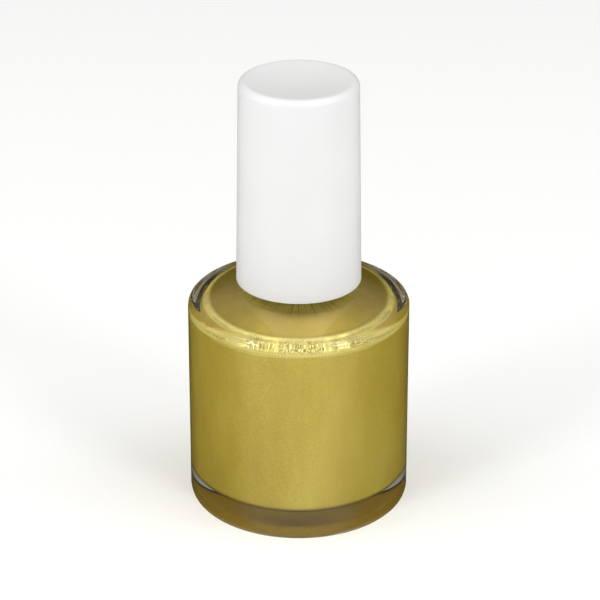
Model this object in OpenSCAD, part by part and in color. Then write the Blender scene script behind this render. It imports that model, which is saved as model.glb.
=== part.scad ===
// Screw-capped lacquer bottle with a brush in its cap.
// Millimetres. The origin is the centre of the base, +Z points up, and the bottle stands on Z = 0.

/* [Glass body] */
// Outside diameter of the glass body
body_d = 30; // [28:0.5:37]
// Height of the glass body at the edge of its shoulder
body_h = 29.9; // [24:0.1:37]
// Thickness of the glass side wall
side_wall = 2.8; // [2.2:0.1:3.4]
// Thickness of the glass base, measured to the standing plane
base_wall = 3.6; // [3:0.1:5]
// Thickness of the glass shoulder at its edge
shoulder_wall = 1.5; // [1.3:0.1:2.4]
// Radius of the rounded edge of the shoulder
shoulder_round = 1.1; // [0.8:0.1:1.4]
// How far the domed shoulder rises from its edge to the neck
shoulder_rise = 2; // [1.6:0.1:2.4]
// Radius of the rounded heel round the base
heel_round = 1.7; // [1:0.1:2.2]
// Radius of the inside corner at the bottom of the chamber
floor_round = 1.1; // [0.8:0.1:3]
// Radius of the inside corner under the shoulder
roof_round = 0.8; // [0.6:0.1:2]
// Height of the hollow under the base
punt_h = 0.5; // [0.2:0.1:1]

/* [Neck] */
// Outside diameter of the neck under its thread
neck_d = 11.5; // [11:0.1:12]
// Diameter over the glass thread
thread_d = 13; // [12.6:0.1:13.1]
// Diameter of the bore through the neck
bore_d = 7.2; // [6.6:0.1:8]
// Height of the neck from the shoulder to the lip
neck_h = 11.1; // [10.5:0.1:14]
// Rise of the thread in one turn
thread_lead = 2.12; // [2:0.02:2.4]
// Turns of thread on the neck
thread_turns = 1.9; // [1.5:0.1:2.2]

/* [Overcap] */
// Outside diameter of the overcap at its open end
cap_d = 16.9; // [16.7:0.1:20]
// Outside diameter of the overcap at its top
cap_top_d = 16.05; // [15.95:0.05:19]
// Height of the overcap
cap_h = 28.55; // [23.8:0.05:36]
// Gap between the foot of the neck and the open end of the overcap
cap_gap = 0.75; // [0.5:0.05:1.5]
// Radius of the rounded top edge
cap_round = 0.9; // [0.4:0.1:1.2]
// Depth of the shallow dish in the top
dish_depth = 0.45; // [0.2:0.05:0.7]
// Thickness of the overcap wall
cap_wall = 0.85; // [0.8:0.05:0.9]
// Thickness of the top of the overcap at the middle of its dish
cap_top_wall = 1.2; // [0.8:0.1:2]
// Number of ribs inside the top of the overcap
rib_count = 6; // [4:1:8]

/* [Inner cap] */
// Height of the skirt edge of the inner cap above the open end of the overcap
skirt_recess = 0.6; // [0.2:0.1:1]
// Thickness of the top of the inner cap
inner_top = 1.4; // [1:0.1:2]
// Number of grooves round the inner cap
groove_count = 24; // [12:1:36]

/* [Brush] */
// Thickness of the sealing washer on the lip
washer_t = 0.9; // [0.6:0.1:1.2]
// Thickness of the flange that carries the rod
flange_t = 1.3; // [1:0.1:2]
// Length of the plug that centres the rod in the neck
plug_l = 6; // [5.4:0.1:7]
// Diameter of the rod below its plug
rod_top_d = 3.6; // [3.4:0.1:4]
// Diameter of the rod at the tuft
rod_tip_d = 3.1; // [3:0.1:3.4]
// Diameter of the tuft where it leaves the rod
tuft_d = 2.2; // [1.8:0.1:2.4]
// Diameter of the tuft at its widest
tuft_wide_d = 3.3; // [2.6:0.1:3.6]
// Length of bristle that stands out of the rod
tuft_l = 12; // [8:0.5:13]
// Clear height between the tuft and the floor of the chamber
tuft_gap = 1.2; // [0.8:0.1:3]

/* [Contents] */
// Depth of air above the lacquer at the edge of the chamber
head_space = 1.1; // [0.5:0.1:6]
// Thickness of the lacquer left on the glass and on the rod above the fill
film_t = 0.15; // [0.1:0.05:0.2]
// Diameter of the steel mixing balls
ball_d = 4.5; // [4:0.5:5]

/* [Hidden] */
$fn = 96;
eps = 0.01;         // overshoot of a cut past the face it opens
touch = 0.02;       // gap between pieces that meet
slip = 0.1;         // radial gap between pieces that turn or slide past each other
over = 1;           // clear overshoot of a cutting space past the end it opens
arc_steps = 8;      // straight steps in a rounded corner of a profile
edge_turn = 80;     // degrees of a shoulder's corner, where its dome takes over

body_r = body_d / 2;
chamber_r = body_r - side_wall;
neck_z = body_h + shoulder_rise;
lip_z = neck_z + neck_h;
neck_r = neck_d / 2;
bore_r = bore_d / 2;
roof_z = body_h - shoulder_wall;
fill_z = roof_z - head_space;
foot_w = 2;         // width of the ring that the bottle stands on
punt_run = 1.5;     // width of the sloping edge of the hollow under the base
neck_fillet = 0.7;
bore_flare = 1.4;   // radius that leads from the chamber roof into the bore
lip_round = 0.5;

film_rise = 1;      // height that the film climbs into the bore

thread_r = thread_d / 2;
thread_foot = 1.3;  // width of the thread where it leaves the neck
thread_crest = 0.6; // width of the thread at its crest
thread_bite = 0.3;  // depth that a thread is rooted in the wall that carries it
thread_start = 1.3; // drop from the lip to the upper end of the thread
thread_low = 0.1;   // share of its height that a thread starts with
thread_top = lip_z - thread_start;
thread_z = thread_top - thread_turns * thread_lead;
ring_count = 30;    // sections in one turn of a thread
runout = 50;        // degrees of turn in which a thread rises to its full height

cap_z = neck_z + cap_gap;
cap_top_z = cap_z + cap_h;
rib_t = 0.8;
rib_l = 1.6;
rib_gap = 0.8;
edge_round = 0.15;

washer_r = neck_r - touch;
flange_z = lip_z + washer_t + touch;
seat_z = flange_z + flange_t + touch;
seat_top_z = seat_z + inner_top;
skirt_z = cap_z + skirt_recess;
inner_thread_r = thread_r + slip;
inner_thread_h = 0.3;
inner_bore_r = inner_thread_r + inner_thread_h;
flange_r = inner_thread_r - slip;
groove_w = 0.9;
groove_depth = 0.15;
groove_start = 1;   // height of the plain band under the grooves

plug_r = bore_r - 2 * slip;
plug_z = flange_z - plug_l;
plug_lead = 0.8;
head_r = 2;
barb_r = 2.45;
barb_h = 1.8;
barb_point = 0.3;   // how much narrower the tip of the barb is than the rod's head
socket_h = 2.6;     // height of the collar that grips the head of the rod
socket_wall = 0.9;
rod_top_r = rod_top_d / 2;
rod_tip_r = rod_tip_d / 2;
tip_z = base_wall + tuft_gap;
rod_z = tip_z + tuft_l;

tuft_r = tuft_d / 2;
tuft_wide_r = tuft_wide_d / 2;
root_h = 3.6;       // depth that the tuft is set in the rod
tip_flat = 0.55;    // radius of the flat tip of the tuft, as a share of its widest
tip_round = 0.6;    // height of the rounding of the tip, as a share of the widest radius
tip_side = 0.88;    // radius where that rounding ends, as a share of the widest
belly_at = 0.35;    // height of the widest place, as a share of the length
back_at = 0.56;     // height where the tuft starts to narrow to its root, as a share of the length
back_side = 0.94;   // radius there, as a share of the widest
anchor_bite = 0.17; // length of the anchor that is sunk in the rod at each end
anchor_l = tuft_d + 2 * anchor_bite;
anchor_t = 0.3;
anchor_h = 1.4;
anchor_rise = 1.2;  // height of the anchor above the end of the rod
anchor_z = rod_z + anchor_rise;
coat_start = 1;     // height of the foot of the wet coat above the end of the rod

ball_r = ball_d / 2;
ball_at = 6.8;      // distance of each ball from the axis
ball_clear = 0.15;  // gap between a ball and the lacquer round it
ball_turn = [35, 158];
well_r = max(tuft_wide_r, rod_top_r + film_t) + 3 * slip;

// Outside radius of the overcap at height z.
function cap_r(z) = cap_d / 2 - (cap_d - cap_top_d) / 2 * (z - cap_z) / cap_h;

// Radius of the rod at height z, below its plug.
function rod_r(z) = rod_tip_r + (rod_top_r - rod_tip_r) * (z - rod_z) / (plug_z - rod_z);

// Points of an arc about centre c from angle a0 to angle a1.
function arc(c, r, a0, a1) = [for (i = [0:arc_steps]) let (a = a0 + (a1 - a0) * i / arc_steps)
    [c.x + r * cos(a), c.y + r * sin(a)]];

// Points between the ends of a dome that starts level with its neck side at r1 and drops to height z at r0.
function dome(r0, r1, z, rise) = [for (i = [1:arc_steps - 1]) let (t = i / arc_steps)
    [r0 + (r1 - r0) * t, z + rise * sin(90 * t)]];

// Outline of the chamber drawn in by gap, from the floor on the axis to the start of the bore.
function chamber(gap) = let (r = chamber_r - gap, low = base_wall + gap, high = roof_z - gap,
                             f = floor_round, c = roof_round, b = bore_r - gap) concat(
    [[0, low]],
    arc([r - f, low + f], f, -90, 0),
    arc([r - c, high - c], c, 0, edge_turn),
    dome(r - c, b + bore_flare, high, shoulder_rise),
    arc([b + bore_flare, high + shoulder_rise + bore_flare], bore_flare, 270, 180));

// The chamber drawn in by gap, between heights z0 and z1.
module chamber_space(gap, z0, z1) {
    intersection() {
        rotate_extrude() polygon(concat(chamber(gap), [[bore_r - gap, lip_z + over], [0, lip_z + over]]));
        translate([0, 0, z0]) cylinder(h = z1 - z0, r = body_r);
    }
}

// A thread of the given number of turns from height z, on a wall of radius wall_r, with its crest at crest_r.
module thread(z, turns, wall_r, crest_r) {
    out = sign(crest_r - wall_r);
    foot_r = wall_r - out * thread_bite;
    steps = ceil(turns * ring_count);
    points = [for (i = [0:steps]) let (
        a = 360 * turns * i / steps,
        c = z + thread_lead * a / 360,
        k = min(1, a / runout, (360 * turns - a) / runout),
        r = wall_r + (crest_r - wall_r) * (thread_low + (1 - thread_low) * sin(90 * k)))
        each [[foot_r * cos(a), foot_r * sin(a), c - thread_foot / 2],
              [r * cos(a), r * sin(a), c - thread_crest / 2],
              [r * cos(a), r * sin(a), c + thread_crest / 2],
              [foot_r * cos(a), foot_r * sin(a), c + thread_foot / 2]]];
    strips = [for (i = [0:steps - 1], k = [0:3]) let (p = 4 * i + k, q = 4 * i + (k + 1) % 4)
        each [[p, q, q + 4], [p, q + 4, p + 4]]];
    ends = [[0, 3, 2], [0, 2, 1], [4 * steps, 4 * steps + 1, 4 * steps + 2],
            [4 * steps, 4 * steps + 2, 4 * steps + 3]];
    outward = [for (f = concat(strips, ends)) out > 0 ? f : [f[2], f[1], f[0]]];
    polyhedron(points = points, faces = outward);
}

module glass_bottle() {
    punt_r = body_r - heel_round - foot_w;
    r = shoulder_round;
    outline = concat(
        [[0, 0]],
        arc([body_r - heel_round, heel_round], heel_round, -90, 0),
        arc([body_r - r, body_h - r], r, 0, edge_turn),
        dome(body_r - r, neck_r + neck_fillet, body_h, shoulder_rise),
        arc([neck_r + neck_fillet, neck_z + neck_fillet], neck_fillet, 270, 180),
        arc([neck_r - lip_round, lip_z - lip_round], lip_round, 0, 90),
        [[0, lip_z]]);
    color([0.9, 0.94, 0.92, 0.45]) difference() {
        union() {
            rotate_extrude() polygon(outline);
            thread(thread_z, thread_turns, neck_r, thread_r);
        }
        rotate_extrude() polygon(concat(chamber(0), [[bore_r, lip_z + over], [0, lip_z + over]]));
        translate([0, 0, -over]) cylinder(h = over + eps, r = punt_r);
        cylinder(h = punt_h, r1 = punt_r, r2 = punt_r - punt_run);
    }
}

module lacquer() {
    color([0.77, 0.68, 0.32]) difference() {
        chamber_space(touch, 0, fill_z);
        cylinder(h = lip_z, r = well_r);
        for (i = [0, 1]) ball_place(i) sphere(r = ball_r + ball_clear);
    }
}

module lacquer_film() {
    color([0.88, 0.8, 0.45]) difference() {
        chamber_space(touch, fill_z + touch, neck_z + film_rise);
        chamber_space(touch + film_t, 0, lip_z);
    }
}

module ball_place(i) {
    rotate([0, 0, ball_turn[i]]) translate([ball_at, 0, base_wall + touch + ball_r]) children();
}

module mixing_ball_1() {
    color([0.6, 0.6, 0.62]) ball_place(0) sphere(r = ball_r);
}

module mixing_ball_2() {
    color([0.6, 0.6, 0.62]) ball_place(1) sphere(r = ball_r);
}

module overcap() {
    top_r = cap_r(cap_top_z);
    dish_r = top_r - cap_round;
    dish_ball_r = (dish_r * dish_r + dish_depth * dish_depth) / (2 * dish_depth);
    ceiling_z = cap_top_z - dish_depth - cap_top_wall;
    outline = concat(
        [[0, cap_z]],
        arc([cap_r(cap_z) - edge_round, cap_z + edge_round], edge_round, -90, 0),
        arc([dish_r, cap_top_z - cap_round], cap_round, 0, 90),
        [[0, cap_top_z]]);
    color([0.94, 0.94, 0.94]) {
        difference() {
            rotate_extrude() polygon(outline);
            translate([0, 0, cap_top_z - dish_depth + dish_ball_r]) sphere(r = dish_ball_r);
            translate([0, 0, cap_z - eps]) cylinder(
                h = ceiling_z - cap_z + eps, r1 = cap_r(cap_z) - cap_wall, r2 = cap_r(ceiling_z) - cap_wall);
        }
        for (i = [0:rib_count - 1]) rotate([0, 0, 360 * i / rib_count])
            translate([cap_r(ceiling_z) - cap_wall - rib_l, -rib_t / 2, seat_top_z + rib_gap])
                cube([rib_l + cap_wall / 2, rib_t, ceiling_z - seat_top_z - rib_gap + cap_top_wall / 2]);
    }
}

module inner_cap() {
    outer_low = cap_r(skirt_z) - cap_wall - touch;
    outer_high = cap_r(seat_top_z) - cap_wall - touch;
    color([0.9, 0.9, 0.88]) {
        difference() {
            union() {
                translate([0, 0, skirt_z])
                    cylinder(h = seat_top_z - skirt_z, r1 = outer_low, r2 = outer_high);
                translate([0, 0, seat_z])
                    cylinder(h = inner_top + socket_h, r = barb_r + touch + socket_wall);
            }
            translate([0, 0, skirt_z - eps]) cylinder(h = seat_z - skirt_z + eps, r = inner_bore_r);
            translate([0, 0, seat_z - eps]) cylinder(h = inner_top + 2 * eps, r = head_r + touch);
            translate([0, 0, seat_top_z]) cylinder(h = socket_h + eps, r = barb_r + touch);
            for (i = [0:groove_count - 1]) rotate([0, 0, 360 * i / groove_count])
                translate([outer_high - groove_depth, -groove_w / 2, skirt_z + groove_start])
                    cube([cap_wall + over, groove_w, seat_top_z - skirt_z]);
        }
        thread(thread_z - thread_lead / 2, thread_turns, inner_bore_r, inner_thread_r);
    }
}

module sealing_washer() {
    color([0.85, 0.85, 0.83]) difference() {
        translate([0, 0, lip_z]) cylinder(h = washer_t, r = washer_r);
        translate([0, 0, lip_z - eps]) cylinder(h = washer_t + 2 * eps, r = plug_r + slip);
    }
}

module tuft_shape() {
    rotate_extrude() polygon([
        [0, tip_z], [tuft_wide_r * tip_flat, tip_z],
        [tuft_wide_r * tip_side, tip_z + tuft_wide_r * tip_round],
        [tuft_wide_r, tip_z + tuft_l * belly_at], [tuft_wide_r * back_side, tip_z + tuft_l * back_at],
        [tuft_r, rod_z], [tuft_r, rod_z + root_h], [0, rod_z + root_h]]);
}

module anchor_shape(gap) {
    translate([-anchor_l / 2 - gap, -anchor_t / 2 - gap, anchor_z - gap])
        cube([anchor_l + 2 * gap, anchor_t + 2 * gap, anchor_h + 2 * gap]);
}

module brush_rod() {
    color([0.92, 0.92, 0.9]) difference() {
        rotate_extrude() polygon([
            [0, rod_z], [rod_tip_r, rod_z], [rod_top_r, plug_z], [plug_r - plug_lead, plug_z],
            [plug_r, plug_z + plug_lead], [plug_r, flange_z],
            [flange_r, flange_z], [flange_r, flange_z + flange_t],
            [head_r, flange_z + flange_t], [head_r, seat_top_z + touch], [barb_r, seat_top_z + touch],
            [head_r - barb_point, seat_top_z + touch + barb_h], [0, seat_top_z + touch + barb_h]]);
        translate([0, 0, rod_z - eps]) cylinder(h = root_h + touch + eps, r = tuft_r + touch);
        anchor_shape(touch);
    }
}

module rod_coat() {
    low = rod_z + coat_start;
    color([0.8, 0.7, 0.35]) rotate_extrude() polygon([
        [rod_r(low) + touch, low], [rod_r(low) + touch + film_t, low],
        [rod_r(fill_z) + touch + film_t, fill_z], [rod_r(fill_z) + touch, fill_z]]);
}

module tuft_anchor() {
    color([0.7, 0.7, 0.72]) anchor_shape(0);
}

module bristle_tuft() {
    color([0.25, 0.22, 0.18]) difference() {
        tuft_shape();
        anchor_shape(touch);
    }
}

glass_bottle();
lacquer();
lacquer_film();
mixing_ball_1();
mixing_ball_2();
overcap();
inner_cap();
sealing_washer();
brush_rod();
rod_coat();
tuft_anchor();
bristle_tuft();
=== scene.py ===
"""Looks of a round glass bottle of gold lacquer with a tall white brush cap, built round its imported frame.

Every size in a dataclass is in millimetres, except the studio's. A mesh is turned to metres once, where it
is made.
"""

import logging
import math
from dataclasses import dataclass, field
from enum import Enum
from typing import Any, Callable, Optional, Union

import bpy
import numpy as np
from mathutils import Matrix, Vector


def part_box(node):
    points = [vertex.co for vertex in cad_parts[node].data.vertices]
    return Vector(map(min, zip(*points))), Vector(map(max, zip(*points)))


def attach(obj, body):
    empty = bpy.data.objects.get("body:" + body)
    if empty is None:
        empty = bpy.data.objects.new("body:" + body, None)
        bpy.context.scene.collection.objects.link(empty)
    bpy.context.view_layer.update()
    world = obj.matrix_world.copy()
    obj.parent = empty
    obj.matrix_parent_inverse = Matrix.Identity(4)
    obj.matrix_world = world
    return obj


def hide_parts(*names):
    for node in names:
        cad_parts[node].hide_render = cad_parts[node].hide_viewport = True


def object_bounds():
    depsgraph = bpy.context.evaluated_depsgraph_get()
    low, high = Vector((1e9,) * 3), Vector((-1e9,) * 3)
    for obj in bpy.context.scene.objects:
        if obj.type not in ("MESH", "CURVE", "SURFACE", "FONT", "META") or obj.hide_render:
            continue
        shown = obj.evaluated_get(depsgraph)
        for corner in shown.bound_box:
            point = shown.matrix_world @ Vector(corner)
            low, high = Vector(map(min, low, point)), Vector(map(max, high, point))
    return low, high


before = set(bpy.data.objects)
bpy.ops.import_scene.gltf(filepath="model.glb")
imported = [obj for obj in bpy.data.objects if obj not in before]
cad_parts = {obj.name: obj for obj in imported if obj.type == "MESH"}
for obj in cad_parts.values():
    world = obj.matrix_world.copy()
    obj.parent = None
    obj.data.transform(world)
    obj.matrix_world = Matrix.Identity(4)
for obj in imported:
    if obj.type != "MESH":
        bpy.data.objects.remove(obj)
CAD_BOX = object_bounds()

MM = 0.001
TAU = 2 * math.pi
TINY = 1e-6
log = logging.getLogger("bottle")

Array = np.ndarray
Tree = bpy.types.NodeTree
Socket = bpy.types.NodeSocket
Stops = list[tuple[float, str]]
Relief = Callable[[Array, Array, Array], tuple[Array, Array]]


class Slot(Enum):
    """The record's material slots, one passed along with each new piece."""

    GLASS = "clear_glass"
    LACQUER = "gold_lacquer"
    CAP = "white_cap"
    PLASTIC = "natural_plastic"
    FOAM = "liner_foam"
    STEEL = "steel"
    BRISTLE = "bristle"


class Body(Enum):
    """The moving bodies of the frame."""

    BOTTLE = "bottle"
    SEAL = "seal"
    COAT = "coat"
    CAP = "cap"


# ---------------------------------------------------------------- surfaces


def arc(centre: tuple[float, float], radius: float, start: float, end: float, steps: int = 8) -> Array:
    """Points of a circular arc, centre + radius (cos a, sin a) with a running evenly from start to end.

    Args:
        centre: Radius and height of the arc's centre.
        radius: The arc's radius.
        start: First angle in degrees.
        end: Last angle in degrees.
        steps: Number of straight steps.

    Returns:
        An array of (radius, height) points.
    """
    a = np.radians(np.linspace(start, end, steps + 1))
    return np.stack([centre[0] + radius * np.cos(a), centre[1] + radius * np.sin(a)], axis=1)


def line(start: tuple[float, float], end: tuple[float, float], steps: int = 1) -> Array:
    """Points that divide a straight stretch of a profile evenly.

    Args:
        start: First (radius, height) point.
        end: Last (radius, height) point.
        steps: Number of steps.

    Returns:
        An array of steps + 1 points.
    """
    t = np.linspace(0, 1, steps + 1)[:, None]
    return np.asarray(start) * (1 - t) + np.asarray(end) * t


def dome(outer: tuple[float, float], inner_r: float, rise: float, steps: int = 24) -> Array:
    """Points of a dome that climbs as the sine of a quarter turn, level where it meets the neck.

    Args:
        outer: Radius and height of its outer edge.
        inner_r: Radius where it is level.
        rise: How far it climbs.
        steps: Number of steps.

    Returns:
        An array of points without the two ends.
    """
    t = np.linspace(0, 1, steps + 1)[1:-1]
    return np.stack([outer[0] + (inner_r - outer[0]) * t, outer[1] + rise * np.sin(t * math.pi / 2)], axis=1)


def profile(*stretches: Array) -> Array:
    """Joins stretches of a profile end to end and drops points that repeat.

    Args:
        stretches: Arrays of (radius, height) points, in order.

    Returns:
        One array of (radius, height) points.
    """
    points = np.vstack(stretches)
    step = np.linalg.norm(np.diff(points, axis=0), axis=1)
    return points[np.concatenate([[True], step > TINY])]


def smooth_step(x: Array, low: float = 0.0, high: float = 1.0) -> Array:
    """Rises from 0 at low to 1 at high as 3t^2 - 2t^3."""
    t = np.clip((x - low) / (high - low), 0, 1)
    return t * t * (3 - 2 * t)


def grid_faces(rows: int, columns: int, closed_rows: bool = False) -> Array:
    """Quads of a grid whose columns run round a ring.

    Args:
        rows: Number of rings.
        columns: Number of points in a ring.
        closed_rows: True if the last ring joins the first, as on a torus.

    Returns:
        An array of four vertex numbers a face.
    """
    last = rows if closed_rows else rows - 1
    i, j = np.meshgrid(np.arange(last), np.arange(columns), indexing="ij")
    up, along = (i + 1) % rows, (j + 1) % columns
    quads = [i * columns + j, i * columns + along, up * columns + along, up * columns + j]
    return np.stack([q.ravel() for q in quads], axis=1)


def make_object(name: str, points: Array, faces: list[Array], crease: float = 40.0) -> bpy.types.Object:
    """Puts arrays of points and faces in a smooth-shaded mesh object at the origin.

    Args:
        name: The piece's name.
        points: Vertex positions in millimetres.
        faces: Arrays of faces, each with one number of corners.
        crease: Angle in degrees from which an edge stays sharp.

    Returns:
        The new object, linked to the scene.
    """
    sizes = np.concatenate([np.full(len(f), f.shape[1]) for f in faces])
    corners = np.concatenate([f.ravel() for f in faces]).astype(np.int32)
    mesh = bpy.data.meshes.new(name)
    mesh.vertices.add(len(points))
    mesh.vertices.foreach_set("co", (points * MM).astype(np.float32).ravel())
    mesh.loops.add(len(corners))
    mesh.loops.foreach_set("vertex_index", corners)
    mesh.polygons.add(len(sizes))
    mesh.polygons.foreach_set("loop_start", np.concatenate([[0], np.cumsum(sizes)[:-1]]).astype(np.int32))
    mesh.polygons.foreach_set("use_smooth", np.ones(len(sizes), dtype=bool))
    mesh.update(calc_edges=True)
    mesh.validate()
    mesh.set_sharp_from_angle(angle=math.radians(crease))
    piece = bpy.data.objects.new(name, mesh)
    bpy.context.scene.collection.objects.link(piece)
    return piece


def even_angles(columns: int) -> Array:
    """Angles that divide a full turn evenly."""
    return np.arange(columns) * TAU / columns


def revolve(
    name: str,
    outline: Array,
    angles: Array,
    relief: Optional[Relief] = None,
    closed: bool = False,
    middle: tuple[float, float, float] = (0.0, 0.0, 0.0),
) -> bpy.types.Object:
    """A surface of revolution whose section may shift with the angle round the axis.

    A point is (r cos u, r sin u, z), where (r, z) runs along the outline, u is the angle, and relief(u, r, z)
    gives what is added to r and z. An end of the outline on the axis becomes one pole. The outline runs with
    the solid on its left, as seen with radius to the right and height up, so that faces look outwards.

    Args:
        name: The piece's name.
        outline: (radius, height) points.
        angles: Angles round the axis, rising within one turn.
        relief: Changes of radius and height for arrays of angle, radius and height, or None.
        closed: True if the outline closes on itself instead of ending on the axis.
        middle: Where the outline's own origin goes.

    Returns:
        The new object.
    """
    rings = outline if closed else outline[1:-1]
    columns = len(angles)
    u, r = np.meshgrid(angles, rings[:, 0])
    z = np.repeat(rings[:, 1:], columns, axis=1)
    if relief is not None:
        swell, lift = relief(u, r, z)
        r, z = r + swell, z + lift
    points = np.stack([r * np.cos(u), r * np.sin(u), z], axis=-1).reshape(-1, 3)
    faces = [grid_faces(len(rings), columns, closed_rows=closed)]
    if not closed:
        around = np.arange(columns)
        nxt = (around + 1) % columns
        first, last = len(points), len(points) + 1
        top_ring = (len(rings) - 1) * columns
        points = np.vstack([points, [[0, 0, outline[0, 1]], [0, 0, outline[-1, 1]]]])
        faces.append(np.stack([np.full(columns, first), nxt, around], axis=1))
        faces.append(np.stack([np.full(columns, last), top_ring + around, top_ring + nxt], axis=1))
    return make_object(name, points + np.asarray(middle), faces)


def tubes(name: str, paths: Array, radii: Array, sides: int = 5) -> bpy.types.Object:
    """Many thin tubes in one mesh, each a ring carried along its own path and closed to a point at both ends.

    A ring's point is path + radius (cos a, sin a) in the level plane, which suits paths that run mostly
    upright.

    Args:
        name: The piece's name.
        paths: Points of each path, shaped (tubes, rings, 3).
        radii: Radius at each ring, shaped (tubes, rings).
        sides: Corners of a ring.

    Returns:
        The new object.
    """
    count, rings, _ = paths.shape
    a = np.arange(sides) * TAU / sides
    ring = np.stack([np.cos(a), np.sin(a), np.zeros(sides)], axis=1)
    skin = paths[:, :, None, :] + radii[:, :, None, None] * ring
    per_tube = rings * sides + 2
    points = np.concatenate([skin.reshape(count, -1, 3), paths[:, :1], paths[:, -1:]], axis=1).reshape(-1, 3)
    quads = grid_faces(rings, sides)[:, ::-1]
    side = np.arange(sides)
    nxt = (side + 1) % sides
    top = np.stack([np.full(sides, rings * sides), side, nxt], axis=1)
    last = (rings - 1) * sides
    tip = np.stack([np.full(sides, rings * sides + 1), last + nxt, last + side], axis=1)
    shift = (np.arange(count) * per_tube)[:, None, None]
    return make_object(name, points, [(f[None] + shift).reshape(-1, f.shape[1]) for f in (quads, top, tip)])


def waves(u: Array, z: Array, seed: int, count: int = 6, turns: int = 5, height: float = 20.0) -> Array:
    """A gentle uneven field round an axis: a sum of cosines of the angle and height with seeded phases.

    Args:
        u: Angles.
        z: Heights.
        seed: Seed of the random phases.
        count: Number of cosines.
        turns: Most waves round the axis.
        height: Shortest wave along the axis.

    Returns:
        Values of about -1 to 1.
    """
    rng = np.random.default_rng(seed)
    total = np.zeros(np.broadcast(u, z).shape)
    for _ in range(count):
        k, m = rng.integers(1, turns + 1), rng.uniform(-1, 1) / height
        total = total + np.cos(k * u + TAU * m * z + rng.uniform(0, TAU))
    return total / math.sqrt(count) / 1.4


# ---------------------------------------------------------------- finishes


def linear(colour: str) -> tuple[float, float, float, float]:
    """Turns an sRGB hex colour, such as "c4a451", to linear red, green, blue and an alpha of 1."""
    values = [int(colour[i : i + 2], 16) / 255 for i in (0, 2, 4)]
    return (*[v / 12.92 if v <= 0.04045 else ((v + 0.055) / 1.055) ** 2.4 for v in values], 1.0)


def per_size(size: float) -> float:
    """Texture scale that makes one feature about size millimetres wide on Object coordinates."""
    return 1 / (size * MM)


def fill(band: bpy.types.ColorRamp, stops: Stops) -> None:
    """Sets a colour band's stops.

    Args:
        band: The band of a colour ramp.
        stops: Position and sRGB hex colour of each stop, from left to right.
    """
    while len(band.elements) < len(stops):
        band.elements.new(0.5)
    for element, (place, colour) in zip(band.elements, stops):
        element.position = place
        element.color = linear(colour)


def put(
    tree: Tree,
    kind: str,
    settings: Optional[dict[str, Any]] = None,
    links: Optional[dict[Any, Socket]] = None,
) -> bpy.types.Node:
    """Adds a node to a tree, with its settings and its links.

    Args:
        tree: The material's node tree.
        kind: The node's type name.
        settings: Values by input name or, for what isn't an input, by property name; "stops" fills a ramp.
        links: Sockets to link, by input name or number.

    Returns:
        The new node.
    """
    node = tree.nodes.new(kind)
    for key, value in (settings or {}).items():
        if key == "stops":
            fill(node.color_ramp, value)
        elif isinstance(key, int) or key in node.inputs:
            node.inputs[key].default_value = value
        else:
            setattr(node, key, value)
    for key, socket in (links or {}).items():
        tree.links.new(socket, node.inputs[key])
    return node


@dataclass(frozen=True)
class Finish:
    """A finish: a named material with its node tree. A kind of finish fills in shade()."""

    name: str

    def shade(self, tree: Tree, place: Socket) -> Socket:
        """Builds the shader.

        Args:
            tree: The material's empty node tree.
            place: Object coordinates.

        Returns:
            The socket of the finished shader.
        """
        raise NotImplementedError

    def material(self) -> bpy.types.Material:
        """Makes the Blender material.

        Returns:
            The material, ready to assign.
        """
        made = bpy.data.materials.new(self.name)
        made.use_nodes = True
        tree = made.node_tree
        tree.nodes.clear()
        place = put(tree, "ShaderNodeTexCoord").outputs["Object"]
        put(tree, "ShaderNodeOutputMaterial", links={"Surface": self.shade(tree, place)})
        return made


@dataclass(frozen=True)
class FlintGlass(Finish):
    """Moulded soda-lime flint glass, fire polished: clear, with the faint ripple that the mould leaves."""

    tint: str = "f7fbf8"
    ior: float = 1.52
    ripple: float = 6.0
    ripple_height: float = 0.006

    def shade(self, tree: Tree, place: Socket) -> Socket:
        """Refracting glass that lets lamp light pass unbent to the lacquer behind it.

        Args:
            tree: The material's empty node tree.
            place: Object coordinates.

        Returns:
            The socket of the finished shader.
        """
        noise = put(
            tree, "ShaderNodeTexNoise", {"Scale": per_size(self.ripple), "Detail": 1.0}, {"Vector": place}
        )
        bump = put(
            tree,
            "ShaderNodeBump",
            {"Strength": 1.0, "Distance": self.ripple_height * MM},
            {"Height": noise.outputs["Fac"]},
        )
        glass = put(
            tree,
            "ShaderNodeBsdfPrincipled",
            {"Base Color": linear(self.tint), "Roughness": 0.0, "IOR": self.ior, "Transmission Weight": 1.0},
            {"Normal": bump.outputs["Normal"]},
        )
        lamp_light = put(tree, "ShaderNodeBsdfTransparent", {"Color": linear(self.tint)})
        rays = put(tree, "ShaderNodeLightPath")
        mix = put(
            tree,
            "ShaderNodeMixShader",
            links={0: rays.outputs["Is Shadow Ray"], 1: glass.outputs[0], 2: lamp_light.outputs[0]},
        )
        return mix.outputs[0]


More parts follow.
